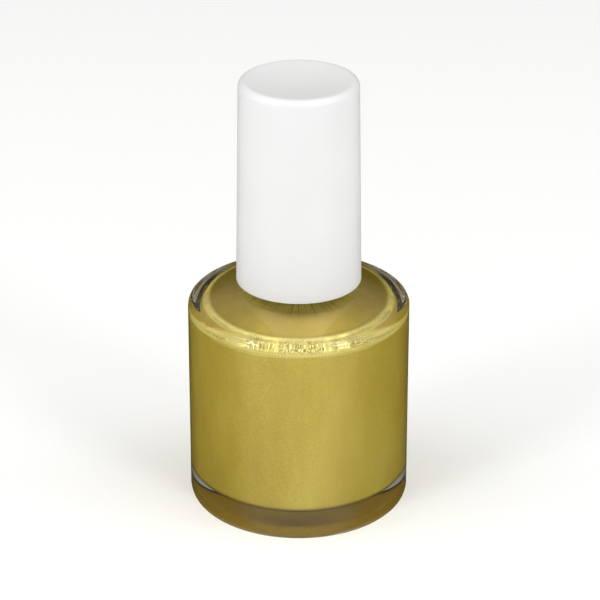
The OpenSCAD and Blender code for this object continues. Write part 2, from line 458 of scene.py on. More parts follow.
@dataclass(frozen=True)
class PearlLacquer(Finish):
    """Nitrocellulose lacquer with gold mica: a satin metallic sheen of fine flakes that tilt at random.

    A real flake is a few hundredths of a millimetre wide; it is drawn coarser, so that it shows. On the
    chamber's floor the lacquer turns matt and its colour is painted shade, darker in the middle and darkest
    in the corner of floor and wall.
    """

    deep: str = "e2c450"
    mid: str = "f0d35c"
    bright: str = "fbe36f"
    flake: float = 0.14
    flake_share: float = 0.16
    flake_tilt: float = 0.12
    drift: float = 7.0
    sag: float = 0.3
    metallic: float = 0.7
    roughness: float = 0.42
    ior: float = 1.5
    tones: tuple[float, float, float] = (0.35, 0.6, 0.85)
    # Colours of the chamber's floor: painted shade, darker in the middle and darkest in the corner of floor
    # and wall.
    painted_floor: str = "d6b044"
    painted_floor_centre: str = "ac8624"
    floor_corner_shade: str = "2a1a04"
    floor_metallic: float = 0.05
    floor_shade_z: float = 3.7
    floor_shade_h: float = 0.8
    floor_r: float = 12.2
    floor_shade_shares: tuple[float, float, float] = (0.42, 0.84, 0.92)

    def zone(self, tree: Tree, value: Socket, start: float, end: float) -> Socket:
        """A length turned to a share that rises smoothly from 0 to 1.

        Args:
            tree: The material's node tree.
            value: Socket of the length.
            start: Length where the share is 0.
            end: Length where it is 1.

        Returns:
            The socket of the share.
        """
        node = put(
            tree,
            "ShaderNodeMapRange",
            {"From Min": start * MM, "From Max": end * MM, "interpolation_type": "SMOOTHSTEP"},
            {"Value": value},
        )
        return node.outputs[0]

    def cylindrical(self, tree: Tree, place: Socket) -> tuple[Socket, Socket]:
        """Place turned to cylindrical lengths.

        Args:
            tree: The material's node tree.
            place: Object coordinates.

        Returns:
            The sockets of the distance from the axis and of the height.
        """
        flat = put(tree, "ShaderNodeVectorMath", {"operation": "MULTIPLY", 1: (1.0, 1.0, 0.0)}, {0: place})
        radius = put(tree, "ShaderNodeVectorMath", {"operation": "LENGTH"}, {0: flat.outputs[0]})
        height = put(tree, "ShaderNodeSeparateXYZ", links={"Vector": place})
        return radius.outputs["Value"], height.outputs["Z"]

    def flakes(self, tree: Tree, place: Socket, size: float, flat: float = 1.0) -> Socket:
        """Random values that stay the same over one flake.

        Args:
            tree: The material's node tree.
            place: Object coordinates.
            size: Width of a flake.
            flat: How many times as wide as it is high.

        Returns:
            The socket of three random values, as a colour.
        """
        pressed = put(tree, "ShaderNodeMapping", {"Scale": (1.0, 1.0, flat)}, {"Vector": place})
        cells = put(tree, "ShaderNodeTexVoronoi", {"Scale": per_size(size)}, {"Vector": pressed.outputs[0]})
        return cells.outputs["Color"]

    def clouds(self, tree: Tree, place: Socket, flakes: Socket) -> Socket:
        """Tone of the pigment: slow clouds drawn out downwards, and each flake's own share.

        Args:
            tree: The material's node tree.
            place: Object coordinates.
            flakes: Socket with random values by flake.

        Returns:
            The socket of the tone.
        """
        sagging = put(tree, "ShaderNodeMapping", {"Scale": (1.0, 1.0, self.sag)}, {"Vector": place})
        drift = put(
            tree,
            "ShaderNodeTexNoise",
            {"Scale": per_size(self.drift), "Detail": 3.0, "Roughness": 0.55},
            {"Vector": sagging.outputs[0]},
        )
        tone = put(tree, "ShaderNodeSeparateColor", links={"Color": flakes})
        blend = put(
            tree,
            "ShaderNodeMath",
            {"operation": "MULTIPLY_ADD", 1: self.flake_share},
            {0: tone.outputs["Red"], 2: drift.outputs["Fac"]},
        )
        return blend.outputs[0]

    def tilted(self, tree: Tree, flakes: Socket, reach: Union[float, Socket]) -> Socket:
        """Surface normal that leans by a random amount from flake to flake.

        Args:
            tree: The material's node tree.
            flakes: Socket with random values by flake.
            reach: Most that a normal leans, as a number or as a socket.

        Returns:
            The socket of the normal.
        """
        half = (0.5, 0.5, 0.5)
        centred = put(tree, "ShaderNodeVectorMath", {"operation": "SUBTRACT", 1: half}, {0: flakes})
        scaled = put(tree, "ShaderNodeVectorMath", {"operation": "SCALE"}, {0: centred.outputs[0]})
        if isinstance(reach, float):
            scaled.inputs["Scale"].default_value = reach
        else:
            tree.links.new(reach, scaled.inputs["Scale"])
        surface = put(tree, "ShaderNodeNewGeometry")
        leaning = put(
            tree,
            "ShaderNodeVectorMath",
            {"operation": "ADD"},
            {0: surface.outputs["Normal"], 1: scaled.outputs[0]},
        )
        unit = put(tree, "ShaderNodeVectorMath", {"operation": "NORMALIZE"}, {0: leaning.outputs[0]})
        return unit.outputs[0]

    def shade(self, tree: Tree, place: Socket) -> Socket:
        """Colour follows the clouds, the normal tilts by flake, and the floor is matt with painted shade.

        Args:
            tree: The material's empty node tree.
            place: Object coordinates.

        Returns:
            The socket of the finished shader.
        """
        flakes = self.flakes(tree, place, self.flake)
        clouds = self.clouds(tree, place, flakes)
        fresh_stops = list(zip(self.tones, (self.deep, self.mid, self.bright)))
        fresh = put(tree, "ShaderNodeValToRGB", {"stops": fresh_stops}, {"Fac": clouds})
        radius, height = self.cylindrical(tree, place)
        # Mask of the chamber's floor, whose colour is painted shade, darkest in the corner of floor and wall.
        bottom = self.zone(tree, height, self.floor_shade_z + self.floor_shade_h, self.floor_shade_z)
        share = put(tree, "ShaderNodeMath", {"operation": "DIVIDE", 1: self.floor_r * MM}, {0: radius})
        rings = zip(self.floor_shade_shares, (self.painted_floor, self.painted_floor, self.floor_corner_shade))
        floor_shade_stops = [(0.0, self.painted_floor_centre), *rings]
        painted_floor = put(tree, "ShaderNodeValToRGB", {"stops": floor_shade_stops}, {"Fac": share.outputs[0]})
        colour = put(
            tree,
            "ShaderNodeMixRGB",
            links={"Fac": bottom, "Color1": fresh.outputs["Color"], "Color2": painted_floor.outputs["Color"]},
        )
        metal = put(
            tree,
            "ShaderNodeMapRange",
            {"To Min": self.metallic, "To Max": self.floor_metallic},
            {"Value": bottom},
        )
        lacquer = put(
            tree,
            "ShaderNodeBsdfPrincipled",
            {"Roughness": self.roughness, "IOR": self.ior},
            {
                "Base Color": colour.outputs["Color"],
                "Metallic": metal.outputs[0],
                "Normal": self.tilted(tree, flakes, self.flake_tilt),
            },
        )
        return lacquer.outputs[0]


@dataclass(frozen=True)
class ClungLacquer(PearlLacquer):
    """The same lacquer dried on the glass over the fill: thin and darker on the dome, streaked at the throat.

    The corner it drains to is full of coarse glitter. Its specks are much wider than they are high, because
    the rounded shoulder of the glass draws them out upwards. The corner's colour is also mixed brighter, a
    painted highlight, and so is the colour round the neck, painted light against the cap's shadow.
    """

    dome_deep: str = "a28a2c"
    dome_bright: str = "bfa344"
    # Brightest tone: of the glitter specks, of the painted highlight in the corner and of the painted light
    # round the neck.
    glint: str = "feee98"
    hollow: str = "a98a28"
    glitter: float = 0.15
    glitter_flat: float = 18.0
    glitter_tilt: float = 0.7
    corner_r: float = 11.3
    corner_w: float = 0.7
    corner_metallic: float = 0.35
    glitter_metallic: float = 0.5
    glitter_gloss: float = 0.14
    film_tones: tuple[float, float] = (0.35, 0.8)
    glitter_tones: tuple[float, float] = (0.3, 0.62)
    clump: float = 3.5
    clump_edge: tuple[float, float] = (0.42, 0.58)
    clump_share: float = 0.85
    rim_z: float = 27.5
    rim_h: float = 0.35
    throat_r: float = 8.8
    throat_w: float = 1.4
    neck_gap: float = 0.6
    streaks: float = 22.0
    streak_edge: tuple[float, float] = (0.52, 0.7)
    streak_share: float = 0.5
    streak_colour: str = "7c661f"

    def streaked(self, tree: Tree, place: Socket, throat: Socket) -> Socket:
        """How dark the runs near the throat are: noise of the angle round the axis, in the throat's zone.

        Args:
            tree: The material's node tree.
            place: Object coordinates.
            throat: Socket of the throat's zone.

        Returns:
            The socket of the darkness.
        """
        parts = put(tree, "ShaderNodeSeparateXYZ", links={"Vector": place})
        angle = put(
            tree, "ShaderNodeMath", {"operation": "ARCTAN2"}, {0: parts.outputs["Y"], 1: parts.outputs["X"]}
        )
        noise = put(
            tree,
            "ShaderNodeTexNoise",
            {"noise_dimensions": "1D", "Scale": self.streaks, "Detail": 2.0},
            {"W": angle.outputs[0]},
        )
        lines = put(
            tree,
            "ShaderNodeMapRange",
            {
                "From Min": self.streak_edge[0],
                "From Max": self.streak_edge[1],
                "To Max": self.streak_share,
                "interpolation_type": "SMOOTHSTEP",
            },
            {"Value": noise.outputs[0]},
        )
        runs = put(tree, "ShaderNodeMath", {"operation": "MULTIPLY"}, {0: lines.outputs[0], 1: throat})
        return runs.outputs[0]

    def shade(self, tree: Tree, place: Socket) -> Socket:
        """Three zones by radius: streaked throat, plain dome and glittering corner; corner and neck take
        brighter colours as painted highlight and painted light.

        Args:
            tree: The material's empty node tree.
            place: Object coordinates.

        Returns:
            The socket of the finished shader.
        """
        radius, height = self.cylindrical(tree, place)
        corner = self.zone(tree, radius, self.corner_r, self.corner_r + self.corner_w)
        throat = self.zone(tree, radius, self.throat_r, self.throat_r - self.throat_w)
        fine = self.flakes(tree, place, self.flake)
        coarse = self.flakes(tree, place, self.glitter, self.glitter_flat)
        clouds = self.clouds(tree, place, fine)
        dome_stops = list(zip(self.film_tones, (self.dome_deep, self.dome_bright)))
        dome = put(tree, "ShaderNodeValToRGB", {"stops": dome_stops}, {"Fac": clouds}).outputs["Color"]
        # Brighter colours: painted highlight in the corner and painted light round the neck.
        painted_light_stops = list(zip(self.film_tones, (self.bright, self.glint)))
        painted_light_colour = put(tree, "ShaderNodeValToRGB", {"stops": painted_light_stops}, {"Fac": clouds}).outputs["Color"]
        patches = put(
            tree, "ShaderNodeTexNoise", {"Scale": per_size(self.clump), "Detail": 2.0}, {"Vector": place}
        )
        tone = put(tree, "ShaderNodeSeparateColor", links={"Color": coarse}).outputs["Green"]
        speck_stops = list(zip(self.glitter_tones, (self.hollow, self.glint)))
        specks = put(tree, "ShaderNodeValToRGB", {"stops": speck_stops}, {"Fac": tone}).outputs["Color"]
        clumps = put(
            tree,
            "ShaderNodeMapRange",
            {
                "From Min": self.clump_edge[0],
                "From Max": self.clump_edge[1],
                "To Max": self.clump_share,
            },
            {"Value": patches.outputs["Fac"]},
        )
        over_rim = self.zone(tree, height, self.rim_z, self.rim_z + self.rim_h)
        high_corner = put(tree, "ShaderNodeMath", {"operation": "MULTIPLY"}, {0: over_rim, 1: corner})
        glittery = put(
            tree,
            "ShaderNodeMath",
            {"operation": "MULTIPLY"},
            {0: clumps.outputs[0], 1: high_corner.outputs[0]},
        ).outputs[0]
        # Painted light round the neck, lifting the shadow that the cap casts there.
        neck_painted_light = self.zone(tree, radius, self.throat_r - self.neck_gap, self.throat_r - 2 * self.throat_w)
        ends = put(tree, "ShaderNodeMath", {"operation": "MAXIMUM"}, {0: corner, 1: neck_painted_light})
        # Corner and neck take the brighter colours: painted highlight and painted light.
        zoned = put(tree, "ShaderNodeMixRGB", links={"Fac": ends.outputs[0], "Color1": dome, "Color2": painted_light_colour})
        lit = put(
            tree, "ShaderNodeMixRGB", links={"Fac": glittery, "Color1": zoned.outputs[0], "Color2": specks}
        )
        runs = put(
            tree,
            "ShaderNodeMixRGB",
            {"Color2": linear(self.streak_colour)},
            {"Fac": self.streaked(tree, place, throat), "Color1": lit.outputs[0]},
        )
        lean = put(
            tree,
            "ShaderNodeMath",
            {"operation": "MULTIPLY_ADD", 1: self.glitter_tilt, 2: self.flake_tilt},
            {0: glittery},
        )
        gloss = put(
            tree,
            "ShaderNodeMapRange",
            {"To Min": self.roughness, "To Max": self.roughness - self.glitter_gloss},
            {"Value": glittery},
        )
        metal = put(
            tree,
            "ShaderNodeMapRange",
            {"To Min": self.metallic, "To Max": self.corner_metallic},
            {"Value": corner},
        )
        sheen = put(
            tree,
            "ShaderNodeMath",
            {"operation": "MULTIPLY_ADD", 1: self.glitter_metallic - self.corner_metallic},
            {0: glittery, 2: metal.outputs[0]},
        )
        film = put(
            tree,
            "ShaderNodeBsdfPrincipled",
            {"IOR": self.ior},
            {
                "Metallic": sheen.outputs[0],
                "Base Color": runs.outputs[0],
                "Roughness": gloss.outputs[0],
                "Normal": self.tilted(tree, coarse, lean.outputs[0]),
            },
        )
        return film.outputs[0]


@dataclass(frozen=True)
class MouldedPlastic(Finish):
    """Injection-moulded polyolefin: an even semi-gloss skin with the faint peel of a polished mould."""

    colour: str
    shade_colour: str
    roughness: float = 0.38
    roughness_drift: float = 0.05
    ior: float = 1.49
    grain: float = 0.35
    grain_height: float = 0.002
    flow: float = 9.0
    flow_tones: tuple[float, float] = (0.3, 0.7)

    def shade(self, tree: Tree, place: Socket) -> Socket:
        """Slight tone drift along the flow of the melt, peel as bump, and roughness that drifts with it.

        Args:
            tree: The material's empty node tree.
            place: Object coordinates.

        Returns:
            The socket of the finished shader.
        """
        flow = put(
            tree, "ShaderNodeTexNoise", {"Scale": per_size(self.flow), "Detail": 2.0}, {"Vector": place}
        )
        stops = list(zip(self.flow_tones, (self.shade_colour, self.colour)))
        colour = put(tree, "ShaderNodeValToRGB", {"stops": stops}, {"Fac": flow.outputs["Fac"]})
        peel = put(
            tree, "ShaderNodeTexNoise", {"Scale": per_size(self.grain), "Detail": 2.0}, {"Vector": place}
        )
        bump = put(
            tree,
            "ShaderNodeBump",
            {"Strength": 1.0, "Distance": self.grain_height * MM},
            {"Height": peel.outputs["Fac"]},
        )
        drift = self.roughness_drift
        rough = put(
            tree,
            "ShaderNodeMapRange",
            {"To Min": self.roughness - drift, "To Max": self.roughness + drift},
            {"Value": flow.outputs["Fac"]},
        )
        plastic = put(
            tree,
            "ShaderNodeBsdfPrincipled",
            {"IOR": self.ior},
            {
                "Base Color": colour.outputs["Color"],
                "Roughness": rough.outputs[0],
                "Normal": bump.outputs["Normal"],
            },
        )
        return plastic.outputs[0]


@dataclass(frozen=True)
class LinerFoam(Finish):
    """Expanded polyethylene liner: chalky white with closed cells that show as fine pits."""

    colour: str = "e6e4dc"
    pit_colour: str = "cfccc2"
    cell: float = 0.22
    cell_depth: float = 0.03
    roughness: float = 0.85
    ior: float = 1.45

    def shade(self, tree: Tree, place: Socket) -> Socket:
        """Cells as a Voronoi pattern in both the tone and the bump.

        Args:
            tree: The material's empty node tree.
            place: Object coordinates.

        Returns:
            The socket of the finished shader.
        """
        cells = put(tree, "ShaderNodeTexVoronoi", {"Scale": per_size(self.cell)}, {"Vector": place})
        stops = [(0.0, self.pit_colour), (0.5, self.colour)]
        colour = put(tree, "ShaderNodeValToRGB", {"stops": stops}, {"Fac": cells.outputs["Distance"]})
        bump = put(
            tree,
            "ShaderNodeBump",
            {"Strength": 1.0, "Distance": self.cell_depth * MM},
            {"Height": cells.outputs["Distance"]},
        )
        foam = put(
            tree,
            "ShaderNodeBsdfPrincipled",
            {"Roughness": self.roughness, "IOR": self.ior},
            {"Base Color": colour.outputs["Color"], "Normal": bump.outputs["Normal"]},
        )
        return foam.outputs[0]


@dataclass(frozen=True)
class PolishedSteel(Finish):
    """Stainless steel, tumbled or stamped: bright, with short rubbed marks that vary its roughness."""

    colour: str = "c9cacc"
    mark_colour: str = "b4b5b8"
    mark_tones: tuple[float, float] = (0.3, 0.7)
    smoothest: float = 0.14
    roughest: float = 0.34
    mark: float = 0.4

    def shade(self, tree: Tree, place: Socket) -> Socket:
        """A metal whose roughness drifts with fine marks.

        Args:
            tree: The material's empty node tree.
            place: Object coordinates.

        Returns:
            The socket of the finished shader.
        """
        marks = put(
            tree,
            "ShaderNodeTexNoise",
            {"Scale": per_size(self.mark), "Detail": 4.0, "Distortion": 1.5},
            {"Vector": place},
        )
        rough = put(
            tree,
            "ShaderNodeMapRange",
            {"To Min": self.smoothest, "To Max": self.roughest},
            {"Value": marks.outputs["Fac"]},
        )
        stops = list(zip(self.mark_tones, (self.mark_colour, self.colour)))
        tone = put(tree, "ShaderNodeValToRGB", {"stops": stops}, {"Fac": marks.outputs["Fac"]})
        steel = put(
            tree,
            "ShaderNodeBsdfPrincipled",
            {"Metallic": 1.0},
            {"Base Color": tone.outputs["Color"], "Roughness": rough.outputs[0]},
        )
        return steel.outputs[0]


@dataclass(frozen=True)
class WetFilament(Finish):
    """Black nylon filament dipped in gold lacquer: its dark colour shows where the coat is thin."""

    dry: str = "2a2420"
    wet: str = "b8993f"
    streak: float = 0.35
    stretch: float = 0.12
    wet_edge: tuple[float, float] = (0.36, 0.5)
    wet_metallic: float = 0.7
    roughness: float = 0.3
    ior: float = 1.53

    def shade(self, tree: Tree, place: Socket) -> Socket:
        """Lacquer clings in streaks that run along the filaments.

        Args:
            tree: The material's empty node tree.
            place: Object coordinates.

        Returns:
            The socket of the finished shader.
        """
        stretch = put(tree, "ShaderNodeMapping", {"Scale": (1.0, 1.0, self.stretch)}, {"Vector": place})
        streaks = put(
            tree,
            "ShaderNodeTexNoise",
            {"Scale": per_size(self.streak), "Detail": 3.0},
            {"Vector": stretch.outputs[0]},
        )
        stops = list(zip(self.wet_edge, (self.dry, self.wet)))
        colour = put(tree, "ShaderNodeValToRGB", {"stops": stops}, {"Fac": streaks.outputs["Fac"]})
        metal = put(
            tree,
            "ShaderNodeMapRange",
            {"From Min": self.wet_edge[0], "From Max": self.wet_edge[1], "To Max": self.wet_metallic},
            {"Value": streaks.outputs["Fac"]},
        )
        filament = put(
            tree,
            "ShaderNodeBsdfPrincipled",
            {"Roughness": self.roughness, "IOR": self.ior},
            {"Base Color": colour.outputs["Color"], "Metallic": metal.outputs[0]},
        )
        return filament.outputs[0]


@dataclass(frozen=True)
class StudioPaper(Finish):
    """Matt white paper on a light table: a barely visible tooth, and an even glow from below."""

    colour: str = "f4f4f4"
    tooth_colour: str = "f1f1f1"
    tooth_tones: tuple[float, float] = (0.3, 0.7)
    tooth: float = 0.8
    roughness: float = 0.9
    glow: float = 0.15

    def shade(self, tree: Tree, place: Socket) -> Socket:
        """A matt white with a fine tooth in its tone.

        Args:
            tree: The material's empty node tree.
            place: Object coordinates.

        Returns:
            The socket of the finished shader.
        """
        tooth = put(
            tree, "ShaderNodeTexNoise", {"Scale": per_size(self.tooth), "Detail": 2.0}, {"Vector": place}
        )
        stops = list(zip(self.tooth_tones, (self.tooth_colour, self.colour)))
        colour = put(tree, "ShaderNodeValToRGB", {"stops": stops}, {"Fac": tooth.outputs["Fac"]})
        paper = put(
            tree,
            "ShaderNodeBsdfPrincipled",
            {
                "Roughness": self.roughness,
                "Emission Color": linear(self.colour),
                "Emission Strength": self.glow,
            },
            {"Base Color": colour.outputs["Color"]},
        )
        return paper.outputs[0]


# ---------------------------------------------------------------- measures taken from the frame


def low(node: str) -> Array:
    """Lowest corner of a CAD node, in millimetres."""
    return np.array(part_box(node)[0]) / MM


def high(node: str) -> Array:
    """Highest corner of a CAD node, in millimetres."""
    return np.array(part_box(node)[1]) / MM


@dataclass
class Measures:
    """Places that several sub-assemblies share, read from the CAD nodes."""

    touch: float = 0.02
    neck_to_film: float = 1.0
    body_r: float = field(default_factory=lambda: round(high("glass_bottle")[0], 1))
    lip_z: float = field(default_factory=lambda: high("glass_bottle")[2])
    floor_z: float = field(default_factory=lambda: low("lacquer")[2])
    fill_z: float = field(default_factory=lambda: high("lacquer")[2])
    chamber_r: float = field(default_factory=lambda: round(high("lacquer")[0], 1))
    film_z: float = field(default_factory=lambda: high("lacquer_film")[2])
    cap_z: float = field(default_factory=lambda: low("overcap")[2])
    cap_top_z: float = field(default_factory=lambda: high("overcap")[2])
    cap_r: float = field(default_factory=lambda: high("overcap")[0])
    flange_r: float = field(default_factory=lambda: high("brush_rod")[0])
    rod_z: float = field(default_factory=lambda: low("brush_rod")[2])
    rod_top_z: float = field(default_factory=lambda: high("brush_rod")[2])
    tuft_z: float = field(default_factory=lambda: low("bristle_tuft")[2])
    tuft_top_z: float = field(default_factory=lambda: high("bristle_tuft")[2])
    tuft_r: float = field(default_factory=lambda: high("bristle_tuft")[0])

    @property
    def neck_z(self) -> float:
        """Height where the shoulder meets the neck."""
        return self.film_z - self.neck_to_film


def trapezoid(distance: Array, foot: float, crest: float) -> Array:
    """1 within half a crest's width of a ridge's middle, 0 past half its foot's width, and eased between."""
    return 1 - smooth_step(np.abs(distance), crest / 2, foot / 2)


@dataclass(frozen=True)
class Thread:
    """A single-start right-hand thread as a relief on a wall."""

    start_z: float
    lead: float
    turns: float
    depth: float
    foot: float = 1.2
    crest: float = 0.62
    runout: float = 50 / 360

    def relief(self, u: Array, z: Array) -> Array:
        """Height of the thread: the nearest turn's ridge, eased in and out at its two ends.

        Args:
            u: Angles from 0 to a full turn.
            z: Heights.

        Returns:
            Radial height of the ridge, signed as depth is.
        """
        turn = np.round((z - self.start_z) / self.lead - u / TAU)
        along = u / TAU + turn
        ridge = trapezoid(z - self.start_z - self.lead * along, self.foot, self.crest)
        ends = smooth_step(along, 0, self.runout) * smooth_step(self.turns - along, 0, self.runout)
        return self.depth * ridge * ends


# ---------------------------------------------------------------- glass and what it holds


@dataclass
class Chamber:
    """The hollow of the bottle, whose wall the glass and the lacquer share."""

    m: Measures
    roof_z: float = 28.4
    floor_round: float = 1.1
    roof_round: float = 0.8
    rise: float = 2.0
    bore_r: float = 3.6
    flare: float = 1.4
    unevenness: float = 0.07

    def outline(self, gap: float, steps: int = 22) -> Array:
        """Floor, wall, roof and flare of the chamber, drawn in by gap, from the axis to the bore.

        Args:
            gap: Distance from the glass, negative into it.
            steps: Steps along the straight stretches.

        Returns:
            (radius, height) points with the chamber on their left.
        """
        r, c, f = self.m.chamber_r - gap, self.roof_round, self.floor_round
        base, top, b = self.m.floor_z - self.m.touch + gap, self.roof_z - gap, self.bore_r - gap
        corner = arc((r - c, top - c), c, 0, 80, 10)
        return profile(
            line((0, base), (r - f, base), 8),
            arc((r - f, base + f), f, -90, 0, 10),
            line((r, base + f), (r, top - c), steps),
            corner,
            dome((r - c, top), b + self.flare, self.rise, steps),
            arc((b + self.flare, top + self.rise + self.flare), self.flare, 270, 180, 8),
        )

    def wander(self, u: Array, r: Array, z: Array) -> Array:
        """The uneven inner wall that blowing leaves: a slow wave round the wall that dies out at the bore.

        Args:
            u: Angles.
            r: Radii of the plain section.
            z: Heights of the plain section.

        Returns:
            Changes of radius.
        """
        wide = smooth_step(r, self.bore_r, self.m.chamber_r)
        return self.unevenness * waves(u, z, seed=4) * wide


@dataclass
class GlassBottle:
    """The moulded bottle: one closed skin of outer wall, lip, bore and chamber, with its thread."""

    m: Measures
    chamber: Chamber
    shoulder_z: float = 29.9
    shoulder_round: float = 1.1
    heel_round: float = 1.7
    foot_w: float = 2.0
    punt: float = 0.5
    punt_run: float = 1.5
    neck_r: float = 5.75
    neck_fillet: float = 0.7
    lip_round: float = 0.5
    thread_r: float = 6.5
    lead: float = 2.12
    turns: float = 1.9
    thread_below_lip: float = 1.3
    foot_marks: int = 54
    foot_mark_depth: float = 0.1
    seam_height: float = 0.035
    seam_width: float = 0.16
    seam_turn: float = math.radians(3)
    columns: int = 216
    seam_columns: int = 9

    def outline(self) -> Array:
        """The section's outline, from the middle of the punt round the outside to the middle of the floor.

        Returns:
            (radius, height) points.
        """
        m, c = self.m, self.chamber
        inner_foot = m.body_r - self.heel_round - self.foot_w
        s = self.shoulder_round
        inside = c.outline(0.0)
        return profile(
            line((0, self.punt), (inner_foot - self.punt_run, self.punt), 6),
            line((inner_foot - self.punt_run, self.punt), (inner_foot, 0), 4),
            line((inner_foot, 0), (m.body_r - self.heel_round, 0), 10),
            arc((m.body_r - self.heel_round, self.heel_round), self.heel_round, -90, 0, 12),
            line((m.body_r, self.heel_round), (m.body_r, self.shoulder_z - s), 16),
            arc((m.body_r - s, self.shoulder_z - s), s, 0, 80, 12),
            dome((m.body_r - s, self.shoulder_z), self.neck_r + self.neck_fillet, c.rise, 24),
            arc((self.neck_r + self.neck_fillet, m.neck_z + self.neck_fillet), self.neck_fillet, 270, 180, 8),
            line((self.neck_r, m.neck_z + self.neck_fillet), (self.neck_r, m.lip_z - self.lip_round), 84),
            arc((self.neck_r - self.lip_round, m.lip_z - self.lip_round), self.lip_round, 0, 90, 8),
            line((self.neck_r - self.lip_round, m.lip_z), (c.bore_r + self.lip_round, m.lip_z), 3),
            arc((c.bore_r + self.lip_round, m.lip_z - self.lip_round), self.lip_round, 90, 180, 6),
            line((c.bore_r, m.lip_z - self.lip_round), tuple(inside[-1]), 12),
            inside[::-1],
        )

    def relief(self, u: Array, r: Array, z: Array) -> tuple[Array, Array]:
        """Adds the thread, the two mould seams, the foot's bearing marks and the uneven chamber.

        Args:
            u: Angles.
            r: Radii of the plain section.
            z: Heights of the plain section.

        Returns:
            Changes of radius and of height.
        """
        m, c = self.m, self.chamber
        thread_z = m.lip_z - self.thread_below_lip - self.turns * self.lead
        thread = Thread(thread_z, self.lead, self.turns, self.thread_r - self.neck_r)
        on_neck = np.abs(r - self.neck_r) < TINY
        on_body = (r > m.chamber_r + 0.5) & (z > self.heel_round / 2)
        on_shoulder = (z > c.roof_z + c.rise + 0.1) & (r > self.neck_r)
        outside = on_body | on_shoulder
        across = r * np.abs(np.mod(u - self.seam_turn + math.pi / 2, math.pi) - math.pi / 2)
        seam = self.seam_height * np.exp(-((across / self.seam_width) ** 2))
        inside = (r <= m.chamber_r) & (z > m.floor_z - 0.5) & (z < c.roof_z + c.rise) & (r > c.bore_r)
        inside &= ~on_neck & (z < self.roof_over(r) + 0.01)
        foot_middle = m.body_r - self.heel_round - self.foot_w / 2
        edge = smooth_step(np.abs(r - foot_middle), self.foot_w * 0.3, self.foot_w * 0.45)
        on_foot = (z < TINY) * (1 - edge)
        marks = self.foot_mark_depth * on_foot * (0.5 + 0.5 * np.cos(self.foot_marks * u)) ** 2
        swell = on_neck * thread.relief(u, z) + outside * seam + inside * c.wander(u, r, z)
        return swell, marks

    def roof_over(self, r: Array) -> Array:
        """Height of the chamber's roof, a quarter sine from the wall's corner to the bore.

        Args:
            r: Radii.

        Returns:
            The roof's height at each radius.
        """
        c = self.chamber
        edge = self.m.chamber_r - c.roof_round
        t = np.clip((edge - r) / (edge - c.bore_r - c.flare), 0, 1)
        return c.roof_z + c.rise * np.sin(t * math.pi / 2) + 0.02

    def angles(self) -> Array:
        """Even angles, with a cluster of extra ones across each mould seam.

        Returns:
            Rising angles within one turn.
        """
        even = np.arange(self.columns) * TAU / self.columns
        cluster = self.seam_width / self.m.body_r * np.linspace(-2, 2, self.seam_columns)
        both = np.concatenate([self.seam_turn + cluster, self.seam_turn + math.pi + cluster])
        return np.unique(np.round(np.mod(np.concatenate([even, both]), TAU), 9))

    def build(self, finish: bpy.types.Material) -> bpy.types.Object:
        """Builds the bottle.

        Args:
            finish: The glass.

        Returns:
            The piece, riding on the bottle's body in place of its CAD node.
        """
        piece = revolve("flint_bottle", self.outline(), self.angles(), self.relief)
        return settle(piece, Body.BOTTLE, Slot.GLASS, finish, "glass_bottle")


